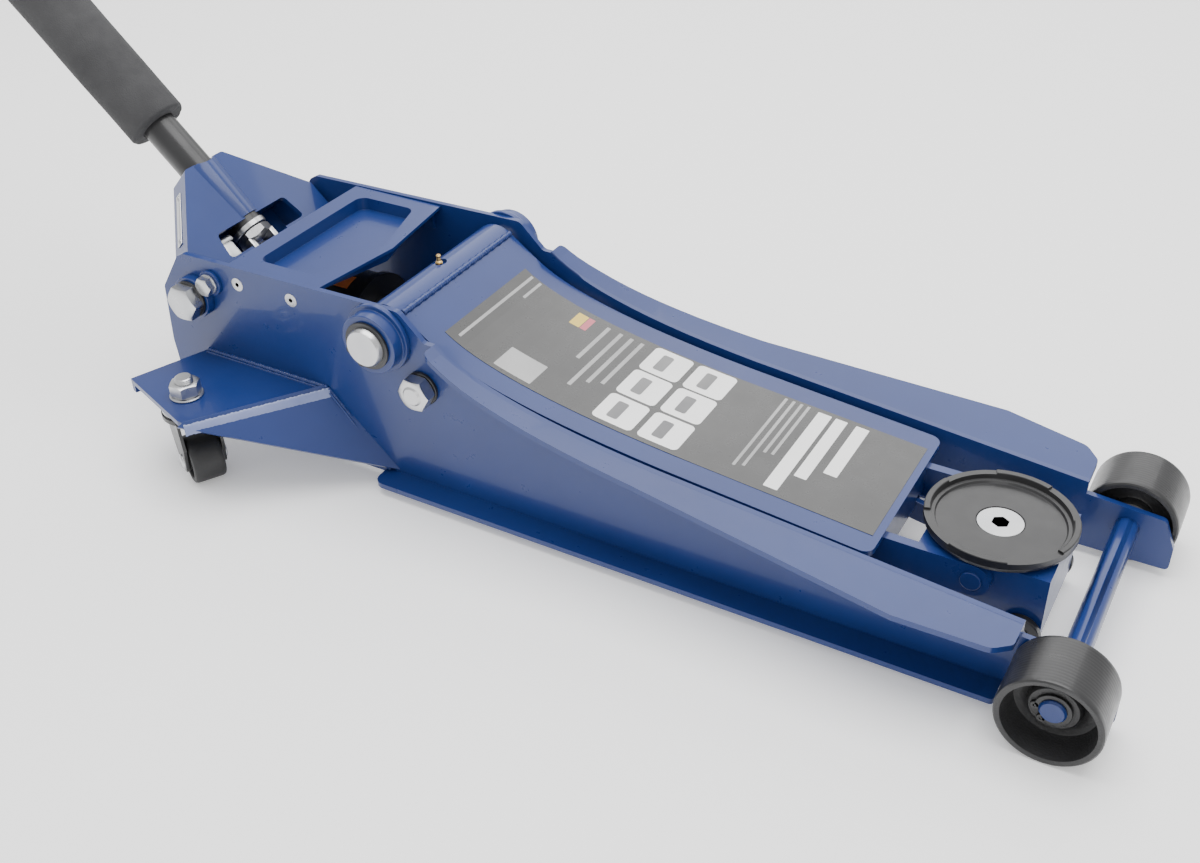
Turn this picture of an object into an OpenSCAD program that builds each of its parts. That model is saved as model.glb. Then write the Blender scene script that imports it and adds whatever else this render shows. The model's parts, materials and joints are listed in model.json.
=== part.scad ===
// Low-profile hydraulic floor jack: arm down, handle at its working angle.
// +X points to the saddle end, +Y to the jack's left and +Z up, with the floor at Z = 0.
// Inside the modules X counts from the front axle, so parts lie at negative X behind it.

/* [Chassis] */
// Thickness of the side plates
plate_t = 5; // [4:0.5:6]
// Half the width over the side plates
plate_y = 95.5; // [94:0.5:98]
// Length of the side plates behind the front axle
plate_back = 837; // [830:1:850]
// Height of the side plates at the back
deck_z = 181; // [179:0.5:184]
// Clearance under the side plates
sill_z = 8; // [6:0.5:10]
// Reach of the lower flange beyond the side plate
sill_w = 22.5; // [18:0.5:26]

/* [Lift arm] */
// Arm pivot, behind the front axle
arm_back = 583; // [580:1:586]
// Arm pivot, above the floor
arm_z = 152.5; // [151:0.5:154]
// Radius of the arm pivot shaft
shaft_r = 17; // [15:0.5:18]
// Outer radius of the arm's pivot tube
tube_r = 24; // [22:0.5:25]
// Half the width of the arm's top plate
arm_w = 83.5; // [80:0.5:85]
// Front edge of the arm's top plate, behind the front axle
arm_front = 152; // [150:1:156]
// Upper face of the arm at its front edge
arm_front_z = 78; // [77:0.5:79]
// Radius of the ram crank below the arm pivot
crank_l = 62; // [60:0.5:64]
// Full lift of the arm, in degrees
lift_deg = 68.75; // [60:0.25:69]

/* [Saddle and linkage] */
// Height of the saddle with the arm down
saddle_z = 85; // [84.5:0.5:87]
// Radius of the saddle
saddle_r = 57.5; // [55:0.5:60]
// Saddle axis, behind the front axle
saddle_back = 80; // [78:1:82]
// Upper pivot of the saddle bracket, behind the front axle
head_back = 84; // [82:1:86]
// Upper pivot of the saddle bracket, above the floor
head_z = 58.5; // [57:0.5:59]
// Link pivots ahead of the arm pivots
link_dx = 39.5; // [38:0.5:41]
// Link pivots below the arm pivots
link_dz = 39; // [38:0.5:40]

/* [Wheels] */
// Radius of the front wheels
wheel_r = 37.5; // [37:0.5:40]
// Width of the front wheels
wheel_w = 50; // [46:1:52]
// Radius of the front axle
axle_r = 9.5; // [9:0.5:10]
// Radius of the caster wheels
caster_r = 22.5; // [20:0.5:23]
// Trail of the casters
trail = 12; // [10:1:26]
// Caster swivel axis, behind the front axle
caster_back = 755; // [750:1:758]
// Caster swivel axis, from the jack's middle
caster_y = 163; // [160:1:165]
// How far the right caster is swivelled outwards at rest
caster_yaw_right = 30; // [-180:5:180]
// How far the left caster is swivelled outwards at rest
caster_yaw_left = -20; // [-180:5:180]

/* [Handle] */
// Handle angle above the floor
handle_deg = 43; // [38:1:46]
// Handle pivot, behind the front axle
socket_back = 791; // [788:1:794]
// Handle pivot, above the floor
socket_z = 139.5; // [138:0.5:141]
// Radius of the handle tube
handle_r = 16.5; // [15:0.5:17]
// Handle length from its pivot
handle_l = 1155; // [1100:5:1200]
// Radius of the foam sleeve
sleeve_r = 29.5; // [26:0.5:30]
// Length of the foam sleeve
sleeve_l = 400; // [300:10:420]

/* [Hidden] */
$fn = 64;
paint = [0.17, 0.25, 0.52];
black = [0.09, 0.09, 0.10];
dark_grey = [0.22, 0.22, 0.23];
zinc = [0.82, 0.83, 0.84];
brass = [0.78, 0.62, 0.28];
orange = [0.80, 0.33, 0.10];
play = 0.05;             // radial play of a pin that turns in its bore
slip = 0.1;              // radial gap of a pin that is fixed in its hole
plate_in = plate_y - plate_t;
grip_r = 19;
grip_l = 145;
axle_z = wheel_r;
axle_end = 136;
arm_x = -arm_back;
socket_x = -socket_back;
link_back = [arm_x + link_dx, arm_z - link_dz];
head = [-head_back, head_z];
link_front = [head.x + link_dx, head.y - link_dz];
crank_deg = lift_deg / 2;
crank_pin = [arm_x - crank_l * sin(crank_deg), arm_z - crank_l * cos(crank_deg)];
ram_z = crank_pin.y - 5;
stop_bolt = [socket_x + 21, socket_z + 17.5];
tray_screw_x = [-739, -678];
roller = [socket_x, socket_z - 24];
roller_y = -38;
plunger_face = roller.x + 11.5;
tank_x = [-722, -668];
block_x = [-762, -722];
cheek_y = 54;
cheek_t = 8;
bracket_y = 45;
bracket_t = 6;
bracket_top = 71.5;
rod_y = 30;
rod_t = 6;
caster_plate_z = 81;
race_top = caster_plate_z - plate_t;
fork_top = 68;
reach = handle_l * cos(handle_deg) + grip_r * sin(handle_deg);
axle_x = (socket_back + reach - wheel_r) / 2;

// ---- placing and outlines ----

// Moves the front axle's foot from the origin to its place in the jack's frame
module from_axle() translate([axle_x, 0, 0]) children();

// The left side's shape, or its mirror image on the right
module on_side(side) mirror([0, side == "right" ? 1 : 0, 0]) children();

// The same shape on both sides
module both_sides() {
    children();
    mirror([0, 1, 0]) children();
}

// An X-Z outline as a wall of thickness t, from y outwards
module wall(y, t) translate([0, y + t, 0]) rotate([90, 0, 0]) linear_extrude(t) children();

// A round bar along Y at p = [x, z]
module bar(p, y0, y1, r) translate([p.x, y0, p.y]) rotate([-90, 0, 0]) cylinder(h = y1 - y0, r = r);

// A washer or collar along Y at p = [x, z]
module ring(p, y0, y1, r, hole) difference() {
    bar(p, y0, y1, r);
    bar(p, y0 - 1, y1 + 1, hole);
}

// A hexagon along Y at p = [x, z], af across its flats
module hex_head(p, y0, y1, af) translate([p.x, y0, p.y]) rotate([-90, 0, 0])
    cylinder(h = y1 - y0, r = af / sqrt(3), $fn = 6);

// The handle's frame: Z runs up the handle from its pivot and X points up and forwards
module on_handle() from_axle() translate([socket_x, 0, socket_z])
    rotate([0, handle_deg - 90, 0]) children();

// A Y-Z outline in the handle's frame, from x for thickness t
module face(x, t) translate([x, 0, 0]) rotate([90, 0, 90]) linear_extrude(t) children();

function unit(v) = v / norm(v);

// Points of the corner at b, between a and c, rounded with radius r
function corner(a, b, c, r, n = 5) =
    let (u = unit(a - b), v = unit(c - b), half = acos(u * v) / 2,
        centre = b + unit(u + v) * r / sin(half),
        start = b + u * r / tan(half) - centre,
        stop = b + v * r / tan(half) - centre,
        a0 = atan2(start.y, start.x),
        sweep = (atan2(stop.y, stop.x) - a0 + 540) % 360 - 180)
    [for (i = [0:n]) centre + r * [cos(a0 + sweep * i / n), sin(a0 + sweep * i / n)]];

// A closed outline from [x, y, corner radius] entries
function rounded(p) =
    let (n = len(p), at = [for (q = p) [q.x, q.y]])
    [for (i = [0:n - 1]) each p[i][2] == 0 ? [at[i]]
        : corner(at[(i + n - 1) % n], at[i], at[(i + 1) % n], p[i][2])];

// The same points as sharp corners of an outline
function sharp(line) = [for (p = line) [p.x, p.y, 0]];

// A quadratic curve from a to c that leaves and arrives towards b
function swoop(a, b, c, n = 14) =
    [for (i = [0:n]) let (t = i / n) a * (1 - t) ^ 2 + b * 2 * t * (1 - t) + c * t ^ 2];

// A strip of thickness t under a line of points
function strip(line, t) = concat(line, [for (i = [len(line) - 1:-1:0]) line[i] - [0, t]]);

// ---- chassis ----

// Upper edge of the side plate, from the front of its flange back to the valley
flange_front = [-35, 70.3];
flange_bend = [-300, 97];
valley = [-530, 157];
flange_line = concat([flange_front], swoop(flange_bend, [-478, 115], valley));

plate_outline = rounded(concat(
    [[37, sill_z, 4], [37, 29, 3], [27, 53.5, 5], [-35, 59, 0]],
    sharp(flange_line),
    [[-538, 157, 6], [-562, deck_z, 10], [-800, deck_z - 3, 0], [-808, 174, 4],
        [-833, 138, 8], [-plate_back, 80, 20], [3 - plate_back, 48, 6], [-815, 34, 8],
        [-640, sill_z, 0]]));

module side_plate(side) color(paint) from_axle() on_side(side) difference() {
    union() {
        wall(plate_in, plate_t) polygon(plate_outline);
        top_flange();
        sill_flange();
    }
    bar([0, axle_z], plate_in - 1, plate_y + 1, axle_r + slip);
    bar([arm_x, arm_z], plate_in - 1, plate_y + 1, shaft_r + slip);
    bar(link_back, plate_in - 1, plate_y + 1, 9 + slip);
    bar([socket_x, socket_z], plate_in - 1, plate_y + 1, 10 + slip);
    bar(stop_bolt, plate_in - 1, plate_y + 1, 5 + slip);
    for (x = tray_screw_x) {
        bar([x, 162], plate_in - 1, plate_y + 1, 3 + slip);
        countersink([x, 162], 0.2);
    }
}

// The flange folded outwards and a little upwards along the plate's sloping edge, widest at its kink
flange_tilt = 4.7;
module top_flange() intersection() {
    translate([0, plate_y, 115]) rotate([flange_tilt, 0, 0]) translate([0, -plate_y, -115])
        wall(plate_in - 10, 75) polygon(strip(flange_line, plate_t));
    linear_extrude(deck_z + 10) polygon(rounded([[-35, plate_y - 1, 0], [-35, 121, 7], [-47, 134, 12],
        [-116, 143, 8], [-330, 121, 0], [-490, 113, 0], [0.5 + valley.x, 109, 6],
        [valley.x, plate_y - 1, 0]]));
}

// The flange folded outwards along the plate's lower edge
module sill_flange() translate([0, 0, sill_z]) linear_extrude(plate_t)
    polygon(rounded([[-42, plate_in, 0], [-42, plate_y + sill_w, 3],
        [-594, plate_y + sill_w, 10], [-594, plate_in, 0]]));

// The cone of a countersunk head in the outer face of the side plate
module countersink(p, gap) translate([p.x, plate_y + 0.01, p.y]) rotate([90, 0, 0])
    cylinder(h = 3.5 + gap, r1 = 6.5 + gap, r2 = 3 + gap);

// Folded bracket that carries a caster: a flat top, a sloping gusset and a short rear lip
gusset_top = [-722, 203];
gusset_in = [-649, plate_y];
gusset_drop = 66;
gusset_deg = 48.4;
module caster_bracket(side) color(paint) from_axle() on_side(side) difference() {
    union() {
        translate([0, 0, race_top]) linear_extrude(plate_t) polygon(rounded(
            [[-793, plate_y, 0], [-655, plate_y, 0], [-724, 199, 0], [-733, 198, 4], [-820, 167, 4]]));
        translate([0, 0, race_top - 8]) linear_extrude(plate_t + 8) polygon(
            [[-820, 167], [-793, plate_y], [-788, plate_y], [-815, 168.5]]);
        gusset();
    }
    translate([-900, plate_y - 60, 0]) cube([400, 60, 120]);
    translate([-caster_back, caster_y, 0]) cylinder(h = 120, r = 8 + slip);
}

module gusset() {
    fold = gusset_in - gusset_top;
    slope_l = gusset_drop / sin(gusset_deg);
    translate([gusset_top.x, gusset_top.y, caster_plate_z - 1])
        rotate([0, 0, atan2(fold.y, fold.x)])
        rotate([-gusset_deg, 0, 0])
        translate([0, 0, -plate_t])
        linear_extrude(plate_t)
        polygon([[-4, -2], [4, 2], [norm(fold) + 41, slope_l - 1], [norm(fold) + 8, -5], [2, -5]]);
}

// Floor of the chassis, under the hydraulic unit
module base_plate() color(paint) from_axle() translate([-762, -plate_in, 43])
    cube([124, 2 * plate_in, 6]);

module front_axle() color(paint) from_axle() bar([0, axle_z], -axle_end, axle_end, axle_r);

module axle_clips() color(black) from_axle() both_sides()
    ring([0, axle_z], 131.3, 133.3, 15.5, axle_r + slip);

// Cover and tool tray between the side plates, with a rounded sunk floor
tray_z = 178;
tray_t = 3;
module tool_tray() color(paint) from_axle() difference() {
    union() {
        translate([0, 0, tray_z - tray_t]) linear_extrude(tray_t) polygon(tray_outline(plate_in - 0.5, 0));
        translate([0, 0, tray_z - 15]) linear_extrude(15) polygon(tray_outline(76, 16));
        both_sides() translate([-748, plate_in - 0.5 - tray_t, tray_z - 24]) cube([90, tray_t, 24]);
    }
    translate([0, 0, tray_z - 12]) linear_extrude(13) polygon(tray_outline(73, 19));
    both_sides() for (x = tray_screw_x) bar([x, 162], plate_in - 8, plate_y, 3 + slip);
}

// The tray's plan: its front edge bows out in the middle; inset moves it in from that outline
function tray_outline(y, inset) = rounded([[-750 + inset, -y, inset / 2], [-650 - inset, -y, inset / 2],
    [-638 - inset / 2, 0, 6], [-650 - inset, y, inset / 2], [-750 + inset, y, inset / 2]]);

module tray_screws() color(zinc) from_axle() both_sides() for (x = tray_screw_x) {
    countersink([x, 162], 0);
    bar([x, 162], 80, plate_y - 3, 3);
}

module arm_shaft() color(zinc) from_axle() bar([arm_x, arm_z], -120, 120, shaft_r);

module shaft_bosses() color(paint) from_axle() both_sides() {
    ring([arm_x, arm_z], plate_y, plate_y + 5, 31, shaft_r + slip);
    ring([arm_x, arm_z], plate_y + 5, 112, 27, shaft_r + slip);
}

module shaft_clips() color(black) from_axle() both_sides()
    ring([arm_x, arm_z], 112.2, 114.6, 21.5, shaft_r + slip);

module link_spacers() color(paint) from_axle() both_sides()
    ring(link_back, rod_y + rod_t + 0.5, plate_in, 12, 9 + slip);

module link_bolts() color(zinc) from_axle() both_sides() {
    bar(link_back, rod_y - 2, 113, 9);
    bar(link_back, rod_y - 4.5, rod_y - 0.5, 12);
    hex_head(link_back, 99, 112, 27);
}

module link_washers() color(black) from_axle() both_sides()
    ring(link_back, plate_y, 98.9, 15.5, 9 + slip);

module socket_bosses() color(paint) from_axle() both_sides() difference() {
    union() {
        bar([socket_x, socket_z], plate_y, 104, 20);
        bar(stop_bolt, plate_y, 99, 12);
    }
    bar([socket_x, socket_z], plate_y - 1, 105, 10 + slip);
    bar(stop_bolt, plate_y - 1, 105, 5 + slip);
    bar(stop_bolt, 99, 105, 10);
}

module socket_washers() color(black) from_axle() both_sides()
    ring([socket_x, socket_z], 104, 106.9, 17.5, 10 + slip);

module socket_bolts() color(zinc) from_axle() both_sides() {
    bar([socket_x, socket_z], 76, 108, 10);
    hex_head([socket_x, socket_z], 107, 118, 30);
}

module stop_bolts() color(zinc) from_axle() both_sides() {
    bar(stop_bolt, 88, 100, 5);
    bar(stop_bolt, 99, 101, 9.5);
    hex_head(stop_bolt, 101, 108, 16);
}

module caster_studs() color(zinc) from_axle() both_sides() translate([-caster_back, caster_y, 0]) {
    translate([0, 0, 58]) cylinder(h = 42, r = 8);
    translate([0, 0, 58]) cylinder(h = 5, r = 13);
}

module caster_nuts() color(zinc) from_axle() both_sides() translate([-caster_back, caster_y, 0])
    difference() {
        union() {
            translate([0, 0, caster_plate_z]) cylinder(h = 2, r = 15);
            translate([0, 0, caster_plate_z + 2]) cylinder(h = 12, r = 24 / sqrt(3), $fn = 6);
        }
        translate([0, 0, caster_plate_z - 1]) cylinder(h = 20, r = 8 + slip);
    }

module caster_races() color(zinc) from_axle() both_sides() translate([-caster_back, caster_y, 0])
    difference() {
        translate([0, 0, fork_top + 0.3]) cylinder(h = race_top - fork_top - 0.3, r = 24);
        translate([0, 0, fork_top - 1]) cylinder(h = 20, r = 8 + slip);
    }

// ---- hydraulic unit ----

module pump_block() color(black) from_axle() difference() {
    translate([block_x[0], -52, 49]) cube([block_x[1] - block_x[0], 92, 79]);
    along_x([-741, 0, ram_z], 60, 15.5);
    along_x([-800, roller_y, roller.y], 76, 8 + play);
    stem_axis() translate([0, 0, 30]) cylinder(h = 26.5, r = 6 + play);
}

// A round bar along X from p
module along_x(p, l, r) translate(p) rotate([0, 90, 0]) cylinder(h = l, r = r);

module oil_tank() color(black) from_axle() difference() {
    union() {
        along_x([tank_x[0], 0, ram_z], tank_x[1] - tank_x[0], 43);
        along_x([tank_x[1], 0, ram_z], 6, 46);
    }
    along_x([tank_x[0] - 1, 0, ram_z], 70, 20);
    translate([-703, 10, ram_z + 30]) cylinder(h = 20, r = 6 + slip);
}

module ram_gland() color(dark_grey) from_axle() difference() {
    along_x([tank_x[1] + 6, 0, ram_z], 12, 25);
    along_x([tank_x[1], 0, ram_z], 30, 15 + play);
}

module filler_plug() color(dark_grey) from_axle() translate([-703, 10, 0]) {
    translate([0, 0, ram_z + 32]) cylinder(h = 13, r = 6);
    translate([0, 0, ram_z + 43]) cylinder(h = 4, r = 9);
}

// Blank coloured sticker that follows the round top of the tank
module tank_label() color(orange) from_axle() intersection() {
    difference() {
        along_x([-708, 0, ram_z], 26, 43.4);
        along_x([-709, 0, ram_z], 28, 43.02);
    }
    translate([-708, -19, ram_z + 30]) cube([26, 15, 20]);
}

module ram_rod() color(zinc) from_axle() along_x([-736, 0, ram_z], 90, 15);

// Fork on the ram whose slots carry the crank pin; the slots take the pin's rise and fall
module ram_clevis() color(dark_grey) from_axle() difference() {
    translate([-646, -22, ram_z - 22]) cube([48, 44, 44]);
    translate([-640, -12, ram_z - 40]) cube([60, 24, 80]);
    translate([-650, -12, ram_z + 12]) cube([60, 24, 20]);
    for (z = [-6, 6]) bar([crank_pin.x, ram_z + z], -30, 30, 10.2);
    translate([crank_pin.x - 10.2, -30, ram_z - 6]) cube([20.4, 60, 12]);
}

module pump_plunger() color(zinc) from_axle() {
    along_x([plunger_face, roller_y, roller.y], 5, 10);
    along_x([plunger_face + 5, roller_y, roller.y], 39, 8);
}

// The release valve's axis runs on down from the handle's
module stem_axis() translate([socket_x, 0, socket_z]) rotate([0, handle_deg + 90, 0]) children();

module release_stem() color(zinc) from_axle() stem_axis() {
    sphere(r = 10);
    cylinder(h = 55, r = 6);
}

// ---- lift arm ----

// Upper face of the arm, from its front edge back to where it meets the pivot tube
steep_deg = 37;
tube_touch = [arm_x + tube_r * sin(steep_deg), arm_z + tube_r * cos(steep_deg)];
arm_front_point = [-arm_front, arm_front_z];
arm_bend = [-300, 93.4];
arm_line = concat([arm_front_point], swoop(arm_bend, [-489, 113.3], [-540, 151]), [tube_touch]);
arm_t = 5;
cheek_top = [for (p = arm_line) p - [0, arm_t - 0.01]];

module lift_arm() color(paint) from_axle() difference() {
    union() {
        intersection() {
            wall(-arm_w, 2 * arm_w) polygon(strip(arm_line, arm_t));
            linear_extrude(deck_z) polygon(rounded([[-arm_front, -arm_w, 9], [-arm_front, arm_w, 9],
                [arm_x, arm_w, 0], [arm_x, -arm_w, 0]]));
        }
        bar([arm_x, arm_z], -arm_w, arm_w, tube_r);
        both_sides() cheek();
        front_wall();
        crank();
    }
    bar([arm_x, arm_z], -arm_w - 1, arm_w + 1, shaft_r + play);
    bar(crank_pin, -30, 30, 9 + slip);
    both_sides() bar(head, 40, 60, 8 + slip);
    translate([arm_x - 5, 0, arm_z + tube_r - 4]) cylinder(h = 10, r = 7);
}

// Closes the arm's front end between the cheeks, with a notch over each levelling link
module front_wall() translate([-arm_front - 5, 0, 0]) rotate([90, 0, 90]) linear_extrude(4) {
    notch_y = rod_y - 1.5;
    notch_z = 53;
    foot_z = 45;
    half = [[0, foot_z], [notch_y, foot_z], [notch_y, notch_z], [notch_y + rod_t + 3, notch_z],
        [notch_y + rod_t + 3, foot_z], [cheek_y - 1, foot_z], [cheek_y - 1, arm_front_z - 1],
        [0, arm_front_z - 1]];
    polygon(concat(half, [for (i = [len(half) - 1:-1:0]) [-half[i].x, half[i].y]]));
}

// Side cheek below the top plate, from the pivot tube to the saddle bracket's upper pivot
module cheek() {
    head_r = 14;
    wall(cheek_y - cheek_t, cheek_t) polygon(concat(
        [[head.x, head.y - head_r], [head.x, head.y + head_r], [-100, 72.4]], cheek_top,
        [[arm_x, arm_z], [arm_x + 8, arm_z - 22], [-531, 127], [-508, 108], [-470, 80],
        [-420, 60], [-340, 50], [-200, 44.5]]));
    bar(head, cheek_y - cheek_t, cheek_y, head_r);
}

module crank() {
    dir = unit(crank_pin - [arm_x, arm_z]);
    side = [-dir.y, dir.x];
    pivot = [arm_x, arm_z];
    wall(-10, 20) polygon([pivot + 16 * side, pivot - 16 * side, crank_pin - 11 * side,
        crank_pin + 11 * side]);
    bar(crank_pin, -10, 10, 13);
}

// Blank printed sticker on the arm's upper face
module arm_label() color(dark_grey) from_axle() intersection() {
    wall(-63, 126) polygon(strip([for (p = arm_line) p + [0, 0.42]], 0.4));
    translate([-540, -63, 0]) cube([382, 126, 200]);
}

module grease_nipple() color(brass) from_axle() translate([arm_x - 5, 0, arm_z + tube_r - 4]) {
    cylinder(h = 3.5, r = 3.6, $fn = 6);
    translate([0, 0, 3.5]) cylinder(h = 4.5, r1 = 3, r2 = 1.8);
    translate([0, 0, 8.5]) sphere(r = 2.4);
}

module crank_pin_bolt() color(zinc) from_axle() {
    bar(crank_pin, -24.2, 24.2, 9);
    both_sides() bar(crank_pin, 22.5, 24.2, 12);
}

module saddle_pins() color(paint) from_axle() both_sides() bar(head, 38, 56, 8);

// ---- saddle, its bracket and the levelling links ----

module saddle_bracket() color(paint) from_axle() difference() {
    union() {
        translate([-128, -bracket_y, bracket_top - 6]) cube([98, 2 * bracket_y, 6]);
        translate([-33, -bracket_y, 17]) cube([3, 2 * bracket_y, bracket_top - 19]);
        translate([-128, -bracket_y, 48]) cube([4, 2 * bracket_y, bracket_top - 50]);
        both_sides() wall(bracket_y - bracket_t, bracket_t) polygon(rounded([[-30, bracket_top, 0],
            [-128, bracket_top, 0], [-128, 46, 3], [-100, 36, 6], [-60, 5, 8], [-30, 5, 12]]));
    }
    both_sides() bar(head, 30, 50, 8 + play);
    both_sides() bar(link_front, 30, 50, 8 + slip);
    translate([-saddle_back, 0, 0]) cylinder(h = 100, r = 10 + play);
}

module link_pin() color(zinc) from_axle() bar(link_front, -52.5, 52.5, 8);

module guide_discs() color(black) from_axle() both_sides()
    ring(link_front, bracket_y + 0.3, 51.5, 16, 8 + slip);

// Round saddle: a cup with a stepped rim whose top rises and falls around it
screw_z = saddle_z - 7.8;
module saddle() color(black) from_axle() translate([-saddle_back, 0, 0]) difference() {
    rotate_extrude() polygon(concat([[0, 73], [47, 73]],
        rounded([[47, 73, 0], [saddle_r - 2, 74, 2], [saddle_r, 78, 3], [saddle_r, saddle_z, 1.2],
        [saddle_r - 5, saddle_z, 1.2], [saddle_r - 6, screw_z + 2.6, 0], [saddle_r - 8.5, screw_z + 2.2, 0],
        [saddle_r - 9.5, screw_z + 0.4, 0]]), [[0, screw_z + 0.4]]));
    for (a = [0:90:270]) rotate(a + 20) translate([0, 0, saddle_z - 1.6]) linear_extrude(5)
        polygon([[0, 0], [80, 0], [57, 57]]);
    translate([0, 0, screw_z - 5.2]) cylinder(h = 5.2, r1 = 13.2, r2 = 18.4);
    translate([0, 0, screw_z - 0.01]) cylinder(h = 10, r = 18.4);
    cylinder(h = 90, r = 10 + slip);
}

module saddle_screw() color(zinc) from_axle() translate([-saddle_back, 0, 0]) difference() {
    union() {
        translate([0, 0, screw_z - 5.1]) cylinder(h = 5, r1 = 13, r2 = 18);
        translate([0, 0, 50]) cylinder(h = screw_z - 55, r = 10);
        translate([0, 0, 53.2]) cylinder(h = 12, r = 30 / sqrt(3), $fn = 6);
    }
    translate([0, 0, screw_z - 7]) cylinder(h = 10, r = 12 / sqrt(3), $fn = 6);
}

// Flat links that keep the saddle level; their front eyes are looser than the pin
module link_rods() color(paint) from_axle() both_sides() difference() {
    dir = unit(link_front - link_back);
    side = 9 * [-dir.y, dir.x];
    union() {
        wall(rod_y, rod_t) polygon([link_back + side, link_back - side, link_front - side,
            link_front + side]);
        bar(link_back, rod_y, rod_y + rod_t, 14);
        bar(link_front, rod_y, rod_y + rod_t, 11);
    }
    bar(link_back, rod_y - 1, rod_y + rod_t + 1, 9 + play);
    bar(link_front, rod_y - 1, rod_y + rod_t + 1, 8.4);
}

// ---- wheels ----

wheel_in = plate_y + 2;
wheel_out = wheel_in + wheel_w;
module front_wheel(side) color(dark_grey) from_axle() on_side(side)
    translate([0, 0, axle_z]) rotate([-90, 0, 0]) rotate_extrude() polygon(rounded(
        [[axle_r + play, wheel_in + 1, 0], [17, wheel_in + 1, 1], [17, wheel_in + 12, 2],
        [31.5, wheel_in + 12, 2], [32.5, wheel_in, 1], [wheel_r, wheel_in, 3], [wheel_r, wheel_out, 3],
        [wheel_r - 5, wheel_out, 1], [wheel_r - 7, wheel_out - 24, 5], [20, wheel_out - 24, 3],
        [18, 131, 1.5], [axle_r + play, 131, 0]]));

// Places a caster part: its swivel axis at the origin and its trail along +X
module on_caster(side) from_axle() on_side(side) translate([-caster_back, caster_y, 0])
    rotate([0, 0, side == "right" ? caster_yaw_right : caster_yaw_left]) children();

module caster_fork(side) color(black) on_caster(side) difference() {
    union() {
        translate([0, 0, fork_top - 4]) cylinder(h = 4, r = 25);
        both_sides() wall(15.6, 2.8) polygon(rounded([[-19, fork_top - 2, 1], [19, fork_top - 2, 1],
            [trail + 13, 40, 8], [trail + 8, 13, 8], [trail - 9, 12, 8], [-20, 50, 8]]));
    }
    translate([0, 0, 50]) cylinder(h = 30, r = 8 + play);
    bar([trail, caster_r], -30, 30, 5 + slip);
}

module caster_axle(side) color(zinc) on_caster(side) {
    bar([trail, caster_r], -20, 20, 5);
    both_sides() bar([trail, caster_r], 18.5, 21, 7.5);
}

module caster_wheel(side) color(black) on_caster(side)
    translate([trail, 0, caster_r]) rotate([-90, 0, 0]) rotate_extrude() polygon(concat(
        [[5 + play, -14.8], [9, -14.8], [9, -9], [16, -9], [17, -14]],
        rounded([[18.5, -14.5, 0], [caster_r, -14, 3], [caster_r, 14, 3], [18.5, 14.5, 0]]),
        [[17, 14], [16, 9], [9, 9], [9, 14.8], [5 + play, 14.8]]));

// ---- handle and its socket ----

socket_top = 101;
socket_shell = [[-86, -16], [-86, 32], [-24.7, socket_top], [24.7, socket_top], [86, 32], [86, -16]];
socket_hollow = [[-80, -30], [-80, 29.5], [-28, 88], [28, 88], [80, 29.5], [80, -30]];
module handle_socket() color(paint) on_handle() difference() {
    union() {
        difference() {
            face(-14, 29) polygon(rounded([for (p = socket_shell) [p.x, p.y, 5]]));
            face(-15, 25) polygon(socket_hollow);
            face(-15, 31) polygon([[-64, -30], [-64, -8], [-24, -8], [-24, 12], [24, 12], [24, -8],
                [64, -8], [64, -30]]);
            face(-15, 31) polygon(rounded([[-51, 8, 4], [-46, 34, 5], [46, 34, 5], [51, 8, 4]]));
        }
        face(-14, 27) polygon([[-72, 38], [-66, 44], [66, 44], [72, 38]]);
        intersection() {
            translate([0, 0, 36]) cylinder(h = 64, r1 = 18.2, r2 = 20.5);
            translate([0, -25, 30]) cube([25, 50, 80]);
        }
        face(-22, 3) polygon([[-57, 2], [-57, 42], [57, 42], [57, 2]]);
        both_sides() translate([-20, 54, 2]) cube([32, 3, 40]);
        translate([-20, -56, 40]) cube([32, 112, 3]);
        roller_lug(-54.5);
        roller_lug(-25);
    }
    translate([0, 0, 30]) cylinder(h = 80, r = handle_r + play);
    translate([-30, 0, 117]) rotate([0, 90, 0]) cylinder(h = 60, r = 20);
    bar([0, 0], -100, 100, 10 + play);
    bar(roller_local, -60, -15, 5 + slip);
}

// The pump roller's place in the handle's frame
roller_local = [-24 * cos(handle_deg), -24 * sin(handle_deg)];
module roller_lug(y) wall(y, 3) polygon(concat([[14, 8], [14, -7.9]],
    corner([14, -7.9], roller_local - [2, 12], [-50, 30], 8), [[-22, -5]]));

module socket_strip() color(zinc) on_handle() {
    edge = unit(socket_shell[2] - socket_shell[1]);
    mid = (socket_shell[1] + socket_shell[2]) / 2;
    translate([0, mid.x, mid.y]) rotate([atan2(edge.y, edge.x) + 90, 0, 0])
        translate([-5, 0.05, -28]) cube([9, 1.2, 56]);
}

module pump_roller() color(zinc) from_axle() ring(roller, roller_y - 12.4, roller_y + 12.4, 10, 5 + play);

module roller_pin() color(zinc) from_axle() bar(roller, -56, -20, 5);

spigot_r = 13.4;
joint_h = 610;
module lower_tube() color(black) on_handle() difference() {
    translate([0, 0, 24]) cylinder(h = joint_h - 24, r = handle_r);
    translate([0, 0, 20]) cylinder(h = joint_h, r = spigot_r + slip);
    translate([0, 0, joint_h - 20]) rotate([0, 90, 0]) cylinder(h = 30, r = 4 + slip);
}

module upper_tube() color(black) on_handle() difference() {
    union() {
        translate([0, 0, joint_h - 60]) cylinder(h = 70, r = spigot_r);
        translate([0, 0, joint_h + 0.3]) cylinder(h = handle_l - 5 - joint_h, r = handle_r);
    }
    translate([0, 0, joint_h - 61]) cylinder(h = 80, r = 11);
    translate([0, 0, joint_h + 12]) cylinder(h = handle_l, r = spigot_r);
    translate([0, 0, joint_h - 20]) rotate([0, 90, 0]) cylinder(h = 30, r = 4 + slip);
}

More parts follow.
